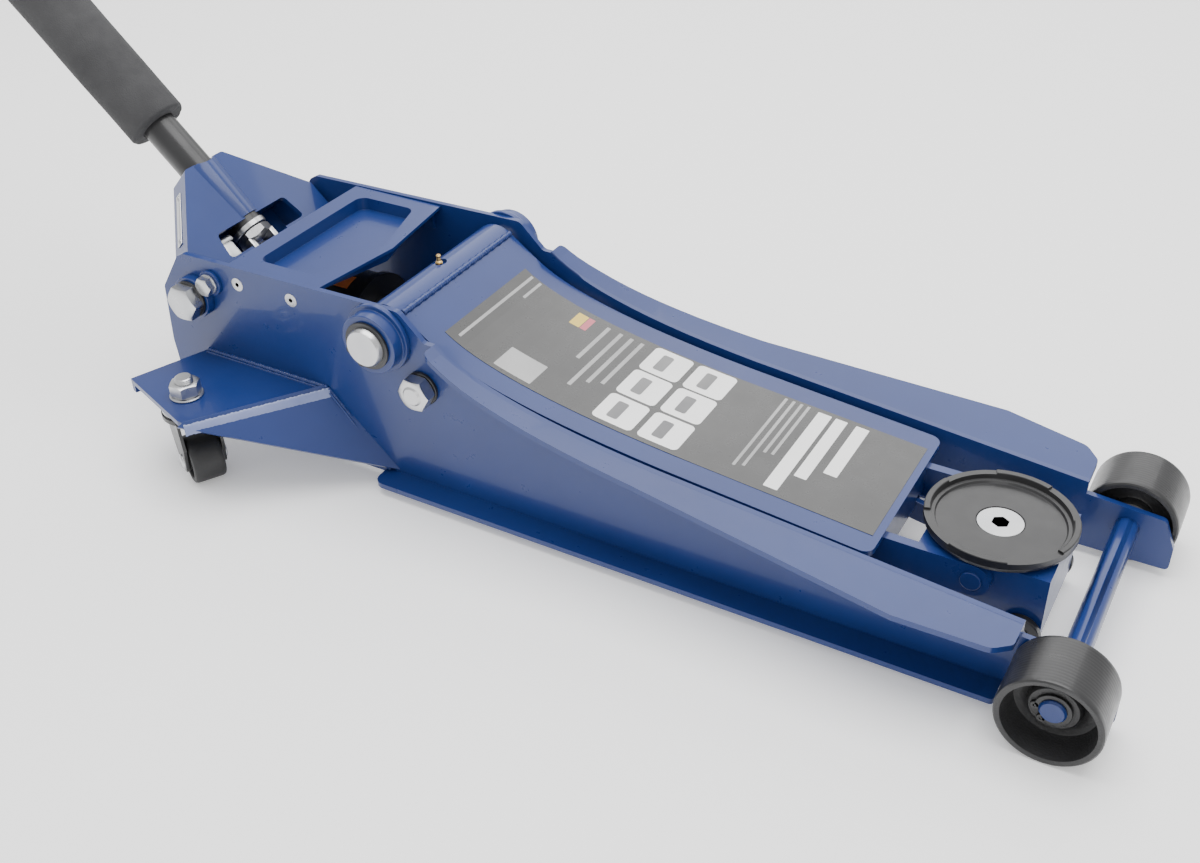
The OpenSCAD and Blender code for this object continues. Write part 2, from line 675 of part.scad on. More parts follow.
module tube_button() color(zinc) on_handle() translate([10, 0, joint_h - 20]) rotate([0, 90, 0]) {
    cylinder(h = 7.5, r = 4);
    translate([0, 0, 7.5]) cylinder(h = 1.5, r1 = 4, r2 = 3);
}

sleeve_from = 155;
module foam_sleeve() color(dark_grey) on_handle() translate([0, 0, sleeve_from]) difference() {
    cylinder(h = sleeve_l, r = sleeve_r);
    translate([0, 0, -1]) cylinder(h = sleeve_l + 2, r = handle_r + 0.4);
}

module handle_grip() color(black) on_handle() translate([0, 0, handle_l - grip_l]) difference() {
    cylinder(h = grip_l, r = grip_r);
    translate([0, 0, -1]) cylinder(h = grip_l - 3, r = handle_r + 0.3);
}

module release_fork() color(zinc) on_handle() {
    both_sides() translate([-9, 11, -1]) cube([18, 5.5, 18]);
    translate([0, 0, 15]) cylinder(h = 9, r = 18);
    translate([0, 0, 24]) cylinder(h = 16, r = 13);
}

// ---- the jack, one line per part ----

side_plate("right");  // side_plate_right
side_plate("left");  // side_plate_left
caster_bracket("right");  // caster_bracket_right
caster_bracket("left");  // caster_bracket_left
base_plate();
front_axle();
axle_clips();
tool_tray();
tray_screws();
arm_shaft();
shaft_bosses();
shaft_clips();
link_spacers();
link_bolts();
link_washers();
socket_bosses();
socket_washers();
socket_bolts();
stop_bolts();
caster_studs();
caster_nuts();
caster_races();
pump_block();
oil_tank();
ram_gland();
filler_plug();
tank_label();
lift_arm();
arm_label();
grease_nipple();
crank_pin_bolt();
saddle_pins();
saddle_bracket();
link_pin();
guide_discs();
saddle();
saddle_screw();
link_rods();
front_wheel("right");  // front_wheel_right
front_wheel("left");  // front_wheel_left
caster_fork("right");  // caster_fork_right
caster_fork("left");  // caster_fork_left
caster_axle("right");  // caster_axle_right
caster_axle("left");  // caster_axle_left
caster_wheel("right");  // caster_wheel_right
caster_wheel("left");  // caster_wheel_left
ram_rod();
ram_clevis();
pump_plunger();
handle_socket();
socket_strip();
pump_roller();
roller_pin();
lower_tube();
upper_tube();
tube_button();
foam_sleeve();
handle_grip();
release_fork();
release_stem();
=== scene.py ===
import json
import math

import bmesh
import bpy
from mathutils import Matrix, Vector, noise as unevenness


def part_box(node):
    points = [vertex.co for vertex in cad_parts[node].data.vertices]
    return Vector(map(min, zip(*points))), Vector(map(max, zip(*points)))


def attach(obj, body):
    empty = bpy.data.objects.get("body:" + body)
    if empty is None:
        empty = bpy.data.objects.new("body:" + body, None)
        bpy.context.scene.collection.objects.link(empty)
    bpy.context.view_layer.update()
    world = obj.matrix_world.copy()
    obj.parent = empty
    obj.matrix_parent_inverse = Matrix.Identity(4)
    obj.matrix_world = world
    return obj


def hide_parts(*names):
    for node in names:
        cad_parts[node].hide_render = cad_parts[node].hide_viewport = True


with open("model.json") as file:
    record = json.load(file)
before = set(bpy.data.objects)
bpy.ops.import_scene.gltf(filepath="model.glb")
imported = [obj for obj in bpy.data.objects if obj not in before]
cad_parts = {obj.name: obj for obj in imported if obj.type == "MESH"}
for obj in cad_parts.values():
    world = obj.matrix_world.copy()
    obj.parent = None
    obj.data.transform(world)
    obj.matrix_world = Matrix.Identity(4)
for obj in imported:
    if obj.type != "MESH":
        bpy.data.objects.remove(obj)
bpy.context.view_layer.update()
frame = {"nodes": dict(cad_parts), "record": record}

MM = 0.001
low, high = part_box("front_axle")
AXLE = Vector(((low.x + high.x) / 2, 0, 0))     # foot of the front axle's middle


def at(x, y, z):
    """A place in metres from millimetres counted from the front axle's foot."""
    return AXLE + Vector((x, y, z)) * MM


# ---- shader helpers ----

def new_material(name, **sockets):
    """A material with one Principled shader, and that shader's fixed values."""
    material = bpy.data.materials.new(name)
    material.use_nodes = True
    shader = material.node_tree.nodes["Principled BSDF"]
    for socket, value in sockets.items():
        shader.inputs[socket.replace("_", " ")].default_value = value
    return material


def node(tree, kind, **settings):
    made = tree.nodes.new(kind)
    for name, value in settings.items():
        setattr(made, name, value)
    return made


def set_inputs(made, **values):
    for name, value in values.items():
        made.inputs[name.replace("_", " ")].default_value = value
    return made


def noise(tree, coords, scale, detail=2.0, rough=0.5):
    made = set_inputs(node(tree, "ShaderNodeTexNoise"), Scale=scale, Detail=detail,
                      Roughness=rough)
    tree.links.new(coords, made.inputs["Vector"])
    return made.outputs["Fac"]


def stretch(tree, value, low, high, to_low=0.0, to_high=1.0):
    """The value's range low..high spread over to_low..to_high."""
    made = set_inputs(node(tree, "ShaderNodeMapRange"), From_Min=low, From_Max=high,
                      To_Min=to_low, To_Max=to_high)
    tree.links.new(value, made.inputs["Value"])
    return made.outputs["Result"]


def blend_colours(tree, mask, first, second):
    made = node(tree, "ShaderNodeMix", data_type="RGBA")
    tree.links.new(mask, made.inputs["Factor"])
    for socket, colour in ((6, first), (7, second)):
        if hasattr(colour, "is_output"):
            tree.links.new(colour, made.inputs[socket])
        else:
            made.inputs[socket].default_value = (*colour, 1)
    return made.outputs[2]


def object_coords(tree):
    return node(tree, "ShaderNodeTexCoord").outputs["Object"]


def group(name, inputs, outputs):
    """An empty node group with named sockets, and its two end nodes."""
    made = bpy.data.node_groups.new(name, "ShaderNodeTree")
    for socket, kind, value in inputs:
        added = made.interface.new_socket(socket, in_out="INPUT", socket_type=kind)
        if value is not None:
            added.default_value = value
    for socket, kind in outputs:
        made.interface.new_socket(socket, in_out="OUTPUT", socket_type=kind)
    return made, made.nodes.new("NodeGroupInput"), made.nodes.new("NodeGroupOutput")


def use_group(tree, made, coords, **values):
    placed = node(tree, "ShaderNodeGroup", node_tree=made)
    tree.links.new(coords, placed.inputs["Place"])
    return set_inputs(placed, **values)


FLOAT, COLOUR, VECTOR = "NodeSocketFloat", "NodeSocketColor", "NodeSocketVector"


def make_mottle():
    """Slow drifts in tone and roughness, as handling and an uneven finish leave."""
    made, start, end = group(
        "mottle", [("Place", VECTOR, None), ("Colour", COLOUR, (0.5, 0.5, 0.5, 1)),
                   ("Second", COLOUR, (0.4, 0.4, 0.4, 1)), ("Scale", FLOAT, 12.0),
                   ("Smooth", FLOAT, 0.3), ("Rough", FLOAT, 0.4)],
        [("Colour", COLOUR), ("Roughness", FLOAT)])
    patches = node(made, "ShaderNodeTexNoise")
    set_inputs(patches, Detail=4.0, Roughness=0.6)
    made.links.new(start.outputs["Place"], patches.inputs["Vector"])
    made.links.new(start.outputs["Scale"], patches.inputs["Scale"])
    mask = stretch(made, patches.outputs["Fac"], 0.35, 0.65)
    made.links.new(blend_colours(made, mask, start.outputs["Colour"], start.outputs["Second"]),
                   end.inputs["Colour"])
    smudges = noise(made, start.outputs["Place"], 60.0, 5.0, 0.65)
    spread = node(made, "ShaderNodeMapRange")
    set_inputs(spread, From_Min=0.3, From_Max=0.7)
    made.links.new(smudges, spread.inputs["Value"])
    made.links.new(start.outputs["Smooth"], spread.inputs["To Min"])
    made.links.new(start.outputs["Rough"], spread.inputs["To Max"])
    made.links.new(spread.outputs["Result"], end.inputs["Roughness"])
    return made


def make_grain():
    """Fine surface relief: cells of one size with a finer grit on them."""
    made, start, end = group(
        "grain", [("Place", VECTOR, None), ("Scale", FLOAT, 900.0), ("Depth", FLOAT, 0.0001),
                  ("Strength", FLOAT, 0.3)],
        [("Normal", VECTOR), ("Height", FLOAT)])
    cells = node(made, "ShaderNodeTexNoise")
    set_inputs(cells, Detail=3.0, Roughness=0.55)
    made.links.new(start.outputs["Place"], cells.inputs["Vector"])
    made.links.new(start.outputs["Scale"], cells.inputs["Scale"])
    relief = node(made, "ShaderNodeBump")
    made.links.new(cells.outputs["Fac"], relief.inputs["Height"])
    made.links.new(start.outputs["Depth"], relief.inputs["Distance"])
    made.links.new(start.outputs["Strength"], relief.inputs["Strength"])
    made.links.new(relief.outputs["Normal"], end.inputs["Normal"])
    made.links.new(cells.outputs["Fac"], end.inputs["Height"])
    return made


mottle, grain = make_mottle(), make_grain()


def finish_material(name, colour, second, smooth, rough, grain_scale, depth, strength,
                    patch_scale=12.0, **sockets):
    """A coated, plated or moulded finish: two tones, a roughness range and a fine relief.

    smooth and rough are the two ends of the roughness; depth is the relief's, in metres."""
    material = new_material(name, **sockets)
    tree = material.node_tree
    shader = tree.nodes["Principled BSDF"]
    place = object_coords(tree)
    tone = use_group(tree, mottle, place, Colour=(*colour, 1), Second=(*second, 1),
                     Scale=patch_scale, Smooth=smooth, Rough=rough)
    relief = use_group(tree, grain, place, Scale=grain_scale, Depth=depth, Strength=strength)
    tree.links.new(tone.outputs["Colour"], shader.inputs["Base Color"])
    tree.links.new(tone.outputs["Roughness"], shader.inputs["Roughness"])
    tree.links.new(relief.outputs["Normal"], shader.inputs["Normal"])
    return material


paint = finish_material("blue_powder_coat", (0.012, 0.034, 0.160), (0.010, 0.028, 0.138),
                        0.27, 0.33, 240.0, 0.00003, 0.10, 6.0,
                        Coat_Weight=0.32, Coat_Roughness=0.05, Specular_IOR_Level=0.38)
black = finish_material("black_coat", (0.010, 0.010, 0.011), (0.016, 0.016, 0.017), 0.28, 0.42,
                        900.0, 0.0001, 0.3, Coat_Weight=0.2)
zinc = finish_material("zinc_plate", (0.62, 0.62, 0.62), (0.52, 0.53, 0.55), 0.24, 0.40,
                       1500.0, 0.00005, 0.35, Metallic=1.0)
dark_steel = finish_material("blackened_steel", (0.09, 0.09, 0.10), (0.06, 0.06, 0.065), 0.35, 0.5,
                             1200.0, 0.00006, 0.3, Metallic=1.0)
iron = finish_material("cast_wheel", (0.016, 0.016, 0.017), (0.026, 0.026, 0.027), 0.30, 0.5,
                       520.0, 0.0005, 0.8)
nylon = finish_material("caster_tread", (0.010, 0.010, 0.011), (0.020, 0.020, 0.021), 0.45, 0.62,
                        300.0, 0.0003, 0.4)
foam = finish_material("handle_foam", (0.036, 0.036, 0.038), (0.052, 0.052, 0.054), 0.80, 0.98,
                       700.0, 0.0006, 0.9, 9.0)
rubber = finish_material("grip_rubber", (0.02, 0.02, 0.02), (0.03, 0.03, 0.03), 0.6, 0.75,
                         800.0, 0.0002, 0.4)
brass = finish_material("brass", (0.72, 0.50, 0.20), (0.60, 0.40, 0.15), 0.22, 0.35,
                        900.0, 0.00006, 0.3, Metallic=1.0)
print_film = finish_material("dark_print_film", (0.038, 0.038, 0.038), (0.055, 0.055, 0.054),
                             0.22, 0.38, 260.0, 0.00005, 0.2, 7.0,
                             Coat_Weight=0.3, Coat_Roughness=0.06)
sticker = finish_material("orange_sticker", (0.70, 0.17, 0.03), (0.62, 0.14, 0.02), 0.35, 0.45,
                          300.0, 0.00004, 0.2)

# A lighter blue than the paint, as painted highlight: it stands in for light caught by the weld's
# sloped face along the fold
fold_weld_painted_highlight = finish_material("fold_weld_highlight_paint", (0.22, 0.26, 0.45), (0.14, 0.18, 0.36), 0.30, 0.5,
                             500.0, 0.0002, 0.4, Coat_Weight=0.4)
turned_iron = finish_material("turned_tread", (0.010, 0.010, 0.011), (0.018, 0.018, 0.019),
                              0.26, 0.42, 900.0, 0.0001, 0.3, Coat_Weight=0.15)


def print_ink(name, colour, second, smooth=0.4, rough=0.55):
    """One colour of print on a sticker."""
    return finish_material(name, colour, second, smooth, rough, 300.0, 0.00003, 0.2)


white_print = print_ink("white_print", (0.92, 0.92, 0.92), (0.86, 0.86, 0.85), 0.35, 0.5)
pale_print = print_ink("pale_print", (0.42, 0.42, 0.42), (0.34, 0.34, 0.34))
grey_print = print_ink("grey_print", (0.16, 0.16, 0.165), (0.22, 0.22, 0.22))
yellow_print = print_ink("yellow_print", (0.75, 0.55, 0.10), (0.65, 0.48, 0.10))
pink_print = print_ink("pink_print", (0.60, 0.16, 0.20), (0.52, 0.13, 0.17))

BY_SLOT = {"paint": paint, "black_steel": black, "zinc": zinc, "dark_steel": dark_steel,
           "wheel_iron": iron, "caster_nylon": nylon, "foam": foam, "grip_rubber": rubber,
           "brass": brass, "label": print_film, "sticker": sticker}
SLOT_OF = {row["node"]: row["material_slot"] for row in frame["record"]["subparts"]}
BODY_OF = {name: body for body, names in frame["record"]["behaviour"]["bodies"].items()
           for name in names}


# ---- mesh helpers ----

WELD_DIST = 1e-6        # metres; corners closer than this are one
CAD_WELD_DIST = 2e-6    # the same for the CAD's own meshes
FLAT_DEG = 0.6          # faces that meet flatter than this become one


def all_geometry(bm):
    return bm.verts[:] + bm.edges[:] + bm.faces[:]


def add_piece(name, bm, body, slot, stands_for=(), material=None, smooth=35):
    """Turns a bmesh into a finished piece that rides on a body."""
    bmesh.ops.remove_doubles(bm, verts=bm.verts, dist=WELD_DIST)
    bmesh.ops.recalc_face_normals(bm, faces=bm.faces)
    mesh = bpy.data.meshes.new(name)
    bm.to_mesh(mesh)
    bm.free()
    mesh.shade_smooth()
    mesh.set_sharp_from_angle(angle=math.radians(smooth))
    piece = bpy.data.objects.new(name, mesh)
    bpy.context.scene.collection.objects.link(piece)
    mesh.materials.append(material or BY_SLOT[slot])
    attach(piece, body)
    if stands_for:
        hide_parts(*stands_for)
    return piece


def weight_normals(piece):
    """Lets wide flat faces keep their shade right up to their rounded edges."""
    piece.modifiers.new("even_shade", "WEIGHTED_NORMAL").keep_sharp = True


def eased(name, width=0.8, segments=2, angle=32):
    """A copy of a CAD node whose sharp edges are eased by width, in millimetres."""
    bm = bmesh.new()
    bm.from_mesh(frame["nodes"][name].data)
    bmesh.ops.remove_doubles(bm, verts=bm.verts, dist=CAD_WELD_DIST)
    bmesh.ops.dissolve_limit(bm, angle_limit=math.radians(FLAT_DEG), verts=bm.verts,
                             edges=bm.edges)
    sharp = [e for e in bm.edges
             if len(e.link_faces) == 2 and e.calc_face_angle(0) > math.radians(angle)]
    bmesh.ops.bevel(bm, geom=sharp, offset=width * MM, segments=segments, profile=0.5,
                    affect="EDGES", material=-1, clamp_overlap=True)
    piece = add_piece(name + "_finished", bm, BODY_OF[name], SLOT_OF[name], [name])
    weight_normals(piece)
    return piece


# ---- the carried-over nodes ----

for name, shown in frame["nodes"].items():
    shown.data.materials.clear()
    shown.data.materials.append(BY_SLOT[SLOT_OF[name]])

for name in ("side_plate_right", "side_plate_left", "caster_bracket_right", "caster_bracket_left",
             "tool_tray", "lift_arm", "saddle_bracket", "handle_socket", "shaft_bosses",
             "socket_bosses", "saddle", "saddle_pins", "link_pin", "guide_discs", "link_rods",
             "link_spacers", "base_plate", "caster_fork_right", "caster_fork_left", "pump_block",
             "oil_tank", "ram_gland", "ram_clevis", "filler_plug", "crank_pin_bolt"):
    eased(name)


# ---- shaping helpers, in millimetres ----

SIDEWAYS = Matrix.Rotation(math.radians(-90), 4, "X")      # turns a piece's Z to the jack's left
HANDLE_DEG = 43.0
SOCKET = (-791.0, 139.5)
ON_HANDLE = Matrix.Translation(at(SOCKET[0], 0, SOCKET[1])) @ Matrix.Rotation(
    math.radians(HANDLE_DEG - 90), 4, "Y")


def across(x, z, y=0.0):
    """Places a piece made along Z so that it lies across the jack at x, z."""
    return Matrix.Translation(at(x, y, z)) @ SIDEWAYS


def upright(x, y, z=0.0):
    """Places a piece made along Z so that it stands at x, y."""
    return Matrix.Translation(at(x, y, z))


def lathe(profile, steps=64, closed=False):
    """Turns a profile of (radius, height) points about Z."""
    bm = bmesh.new()
    verts = [bm.verts.new((r * MM, 0, z * MM)) for r, z in profile]
    ends = verts[1:] + verts[:1] if closed else verts[1:]
    edges = [bm.edges.new(pair) for pair in zip(verts, ends)]
    bmesh.ops.spin(bm, geom=verts + edges, cent=(0, 0, 0), axis=(0, 0, 1), angle=math.tau,
                   steps=steps, use_merge=True, use_duplicate=False)
    bmesh.ops.remove_doubles(bm, verts=bm.verts, dist=WELD_DIST)
    return bm


def rim_outline(radius, low, high, ease, bore):
    return [(bore, low), (radius - ease, low), (radius, low + ease), (radius, high - ease),
            (radius - ease, high), (bore, high)]


def chamfered(radius, low, high, ease=0.8, bore=0.0, steps=64):
    """A bar, or a ring where bore is given, with both rims chamfered."""
    return lathe(rim_outline(radius, low, high, ease, bore), steps, closed=bore > 0)


def hexagon(flats, low, high, bore=0.0, chamfer_low=False):
    """A hexagonal head or nut whose corners are turned back by a cone."""
    turned_part, cone_slope = 0.475, 0.55
    corner = flats / math.sqrt(3)
    turned = flats * turned_part
    drop = (corner - turned) * cone_slope
    rim = [(bore, low), (turned if chamfer_low else corner, low)]
    if chamfer_low:
        rim.append((corner, low + drop))
    rim += [(corner, high - drop), (turned, high), (bore, high)]
    bm = lathe(rim, 48, closed=bore > 0)
    for side in range(6):
        turn = math.radians(60 * side + 30)
        out = Vector((math.cos(turn), math.sin(turn), 0))
        cut = bmesh.ops.bisect_plane(bm, geom=all_geometry(bm), dist=1e-7, plane_no=out,
                                     plane_co=out * (flats / 2 * MM), clear_outer=True)
        rims = [e for e in cut["geom_cut"] if isinstance(e, bmesh.types.BMEdge)]
        bmesh.ops.holes_fill(bm, edges=rims, sides=0)
    return bm


def hex_recess(socket_r, ring_r, depth, high, steps=48):
    """The end face of a screw between its rim and a hexagonal recess."""
    bm = bmesh.new()
    inner = bmesh.ops.create_circle(bm, segments=6, radius=socket_r * MM)["verts"]
    inner_edges = list({e for v in inner for e in v.link_edges})
    outer = bmesh.ops.create_circle(bm, segments=steps, radius=ring_r * MM)["verts"]
    outer_edges = list({e for v in outer for e in v.link_edges})
    down = bmesh.ops.extrude_edge_only(bm, edges=inner_edges)["geom"]
    floor_verts = [g for g in down if isinstance(g, bmesh.types.BMVert)]
    bmesh.ops.translate(bm, verts=floor_verts, vec=(0, 0, -depth * MM))
    bmesh.ops.contextual_create(bm, geom=floor_verts)
    bmesh.ops.bridge_loops(bm, edges=inner_edges + outer_edges)
    bmesh.ops.translate(bm, verts=bm.verts, vec=(0, 0, high * MM))
    return bm


def block(size, place, ease=0.0):
    """A box of size about place, in millimetres, with its edges rounded."""
    bm = bmesh.new()
    bmesh.ops.create_cube(bm, size=MM)
    bmesh.ops.scale(bm, vec=size, verts=bm.verts)
    bmesh.ops.translate(bm, vec=Vector(place) * MM, verts=bm.verts)
    if ease:
        bmesh.ops.bevel(bm, geom=bm.edges[:], offset=ease * MM, segments=2, profile=0.5,
                        affect="EDGES", material=-1, clamp_overlap=True)
    return bm


def placed(bm, matrix):
    bm.transform(matrix)
    return bm


def joined(*parts):
    """Several shapes as one mesh."""
    whole = bmesh.new()
    for part in parts:
        held = bpy.data.meshes.new("held")
        part.to_mesh(held)
        part.free()
        whole.from_mesh(held)
        bpy.data.meshes.remove(held)
    return whole


def both_sides(bm):
    """Adds the mirror image on the jack's other side."""
    bmesh.ops.mirror(bm, geom=all_geometry(bm), axis="Y", merge_dist=0.0)
    return bm


def circlip(bore, radius, low, high, gap=34.0, lug=3.6, face=0.0):
    """An open spring ring with a drilled lug at each end; its gap points to face, in degrees."""
    ease, lug_bore, lug_turn = 0.3, 1.2, 4
    bm = bmesh.new()
    rim = rim_outline(radius, low, high, ease, bore)
    verts = [bm.verts.new((r * MM, 0, z * MM)) for r, z in rim]
    edges = [bm.edges.new(pair) for pair in zip(verts, verts[1:] + verts[:1])]
    bmesh.ops.spin(bm, geom=verts + edges, cent=(0, 0, 0), axis=(0, 0, 1),
                   angle=math.radians(360 - gap), steps=60, use_merge=False, use_duplicate=False)
    bmesh.ops.holes_fill(bm, edges=[e for e in bm.edges if e.is_boundary], sides=0)
    bmesh.ops.rotate(bm, verts=bm.verts, cent=(0, 0, 0),
                     matrix=Matrix.Rotation(math.radians(gap / 2), 3, "Z"))
    lugs = []
    for side in (-1, 1):
        turn = math.radians(side * (gap / 2 + lug_turn))
        middle = Vector((math.cos(turn), math.sin(turn), 0)) * ((bore + lug * 0.9) * MM)
        lugs.append(placed(chamfered(lug, low, high, ease, lug_bore, 20),
                           Matrix.Translation(middle)))
    whole = joined(bm, *lugs)
    bmesh.ops.rotate(whole, verts=whole.verts, cent=(0, 0, 0),
                     matrix=Matrix.Rotation(math.radians(face), 3, "Z"))
    return whole


def weld(start, end, radius, pitch=2.6, lumps=0.16, flat=1.0, lean=0.0):
    """A rippled weld bead between two places; flat squashes it, lean tilts its broad side."""
    most_cuts, cuts_a_ripple = 400, 4
    start, end = Vector(start), Vector(end)
    length = (end - start).length
    bm = bmesh.new()
    bmesh.ops.create_cone(bm, cap_ends=True, segments=12, radius1=radius * MM, radius2=radius * MM,
                          depth=length)
    sides = [e for e in bm.edges if abs(e.verts[0].co.z - e.verts[1].co.z) > length / 2]
    cuts = min(most_cuts, int(length / MM / pitch * cuts_a_ripple))
    bmesh.ops.subdivide_edges(bm, edges=sides, cuts=cuts, use_grid_fill=True)
    for v in bm.verts:
        along = (v.co.z + length / 2) / MM
        ripple, drift = math.sin(math.tau * along / pitch), math.sin(along * 0.61 + 1.3)
        swell = 1 + lumps * ripple + lumps * 0.8 * drift
        v.co.x *= swell
        v.co.y *= swell * flat
    turn = (end - start).to_track_quat("Z", "Y").to_matrix().to_4x4()
    tilt = Matrix.Rotation(math.radians(lean), 4, "Z")
    return placed(bm, Matrix.Translation((start + end) / 2) @ turn @ tilt)


# ---- fasteners ----

def washer_set(name, x, z, low, high, radius, bore):
    """The two washers of a node, low to high from the jack's middle."""
    ring = placed(chamfered(radius, low, high, 0.6, bore), across(x, z))
    add_piece(name + "_turned", both_sides(ring), "frame", "black_steel", [name])


LINK_BACK = (-543.5, 113.5)
ARM_PIVOT = (-583.0, 152.5)
STOP_BOLT = (SOCKET[0] + 21, SOCKET[1] + 17.5)
CASTER = (-755, 163)                 # the left caster's upright axis, x and y

washer_set("socket_washers", *SOCKET, 104, 106.9, 17.5, 10.1)
washer_set("link_washers", *LINK_BACK, 95.5, 98.9, 15.5, 9.1)

bolt = joined(hexagon(30, 107, 118), chamfered(10, 76, 107.5, 0.8))
add_piece("socket_bolts_turned", both_sides(placed(bolt, across(*SOCKET))), "frame", "zinc",
          ["socket_bolts"])
bolt = joined(hexagon(16, 101, 108), chamfered(9.5, 99, 101.2, 0.4), chamfered(5, 88, 100, 0.5))
add_piece("stop_bolts_turned", both_sides(placed(bolt, across(*STOP_BOLT))), "frame", "zinc",
          ["stop_bolts"])
bolt = joined(hexagon(27, 99, 111.6, 9.05, True), chamfered(9, 28, 113, 1.6),
              chamfered(12, 25.5, 29.5, 0.6, 0, 48))
add_piece("link_bolts_turned", both_sides(placed(bolt, across(*LINK_BACK))), "frame", "zinc",
          ["link_bolts"])

nut = joined(hexagon(24, 83, 95, 8.1, True), chamfered(15, 81, 83.2, 0.7, 8.1))
add_piece("caster_nuts_turned", both_sides(placed(nut, upright(*CASTER))), "frame", "zinc",
          ["caster_nuts"])
thread = [(0, 58), (13, 58), (13, 63), (8, 63), (8, 92)]
for turn in range(4):
    thread += [(7.9, 92 + turn * 1.8), (7.1, 92.9 + turn * 1.8)]
thread += [(7.6, 99.2), (6.6, 100), (0, 100)]
add_piece("caster_studs_threaded", both_sides(placed(lathe(thread), upright(*CASTER))), "frame",
          "zinc", ["caster_studs"])
race = lathe([(8.1, 68.3), (22.5, 68.3), (24, 70), (23, 72.4), (20.5, 74.2), (16, 75.6),
              (8.1, 75.9)], closed=True)
add_piece("caster_races_pressed", both_sides(placed(race, upright(*CASTER))), "frame", "zinc",
          ["caster_races"])

HEAD_FACE = 95.55
screws = []
for x in (-739, -678):
    turned = lathe([(0, 80), (3, 80), (3, 92), (6.3, 95.2), (6.3, 95.5), (5.9, HEAD_FACE),
                    (3.4, HEAD_FACE)], 48)
    head = joined(turned, hex_recess(2.3, 3.4, 2.4, HEAD_FACE))
    screws.append(placed(head, across(x, 162)))
add_piece("tray_screws_socketed", both_sides(joined(*screws)), "frame", "zinc", ["tray_screws"])

shaft = lathe([(0, 0), (17, 0), (17, 118), (15.6, 120), (0, 120)], 96)
add_piece("arm_shaft_turned", both_sides(placed(shaft, across(*ARM_PIVOT))), "frame", "zinc",
          ["arm_shaft"])
clip = placed(circlip(17.1, 21.5, 112.2, 114.6, face=135), across(*ARM_PIVOT))
add_piece("shaft_clips_sprung", both_sides(clip), "frame", "black_steel", ["shaft_clips"])

AXLE_AT = (0.0, 37.5)
axle = lathe([(0, 0), (9.5, 0), (9.5, 134.4), (8.2, 136), (0, 136)], 64)
add_piece("front_axle_turned", both_sides(placed(axle, across(*AXLE_AT))), "frame", "paint",
          ["front_axle"])
clip = placed(circlip(9.6, 13.0, 131.3, 133.3, gap=46, lug=3.2, face=150), across(*AXLE_AT))
add_piece("axle_clips_sprung", both_sides(clip), "frame", "black_steel", ["axle_clips"])

nozzle = lathe([(0, 3.4), (2.9, 3.4), (2.9, 4.2), (2.0, 5.0), (1.7, 8.0), (2.3, 9.0), (2.3, 9.8),
                (1.4, 10.7), (0.6, 10.7), (0.6, 10.2), (0, 10.2)], 32)
nipple = joined(hexagon(6.2, 0, 3.5), nozzle)
add_piece("grease_nipple_turned", placed(nipple, upright(-588, 0, 172.5)), "lift_arm", "brass",
          ["grease_nipple"])

SCREW_Z = 77.2
turned = lathe([(0, 50), (10, 50), (10, SCREW_Z - 5.1), (13, SCREW_Z - 5.1),
                (17.6, SCREW_Z - 0.4), (17.4, SCREW_Z - 0.1), (8.6, SCREW_Z - 0.1)], 48)
screw = joined(turned, hex_recess(7.0, 8.6, 6.4, SCREW_Z - 0.1),
               hexagon(30, 53.2, 65.2, 9.8, True))
add_piece("saddle_screw_socketed", placed(screw, upright(-80, 0)), BODY_OF["saddle_screw"], "zinc",
          ["saddle_screw"])

# ---- wheels ----

WHEEL_R, WHEEL_IN, WHEEL_OUT = 37.5, 97.5, 147.5
TREAD_R, TREAD_IN, TREAD_OUT = 36, 100, 145     # the turned band and its rounded rims


def front_wheel(side):
    """A cast wheel: turned tread, thin rims, a deep cast recess and a drilled hub."""
    rim = [(9.55, 98.5), (16.2, 98.5), (17, 99.3), (17, 109), (18, 109.6), (30, 109.6),
           (31.3, 108.5), (32.4, 98.3), (33.2, WHEEL_IN)]
    tread = [(TREAD_R, WHEEL_IN), (37.1, 98.4), (WHEEL_R, TREAD_IN)]
    grooves = 15
    for step in range(1, grooves):
        y = TREAD_IN + (TREAD_OUT - TREAD_IN) * step / grooves
        tread += [(WHEEL_R, y - 0.5), (WHEEL_R - 0.06, y), (WHEEL_R, y + 0.5)]
    tread += [(WHEEL_R, TREAD_OUT), (37.1, 146.7), (TREAD_R, WHEEL_OUT), (33.4, WHEEL_OUT)]
    recess = [(32.5, 146.9), (31.6, 140), (30.9, 129), (29, 124.6), (25, 123.5), (21.5, 123.8),
              (19.4, 125.2), (18.2, 129.9), (17.2, 131), (9.55, 131)]
    bm = lathe(rim + tread + recess, 96, closed=True)
    bm.transform(across(*AXLE_AT))
    if side == "right":
        bmesh.ops.scale(bm, vec=(1, -1, 1), verts=bm.verts)
    piece = add_piece("front_wheel_" + side + "_cast", bm, "front_wheel_" + side, "wheel_iron",
                      ["front_wheel_" + side])
    piece.data.materials.append(turned_iron)
    hub = at(AXLE_AT[0], 0, AXLE_AT[1])
    for face in piece.data.polygons:
        out = math.hypot(face.center.x - hub.x, face.center.z - hub.z) / MM
        if out > TREAD_R:
            face.material_index = 1


for side in ("right", "left"):
    front_wheel(side)

YAW = {"right": 30.0, "left": -20.0}
TRAIL, CASTER_R = 12.0, 22.5


def on_caster(side):
    """Places a piece made about a caster's upright axis."""
    turned = upright(*CASTER) @ Matrix.Rotation(math.radians(YAW[side]), 4, "Z")
    if side == "right":
        return Matrix.Scale(-1, 4, (0, 1, 0)) @ turned
    return turned


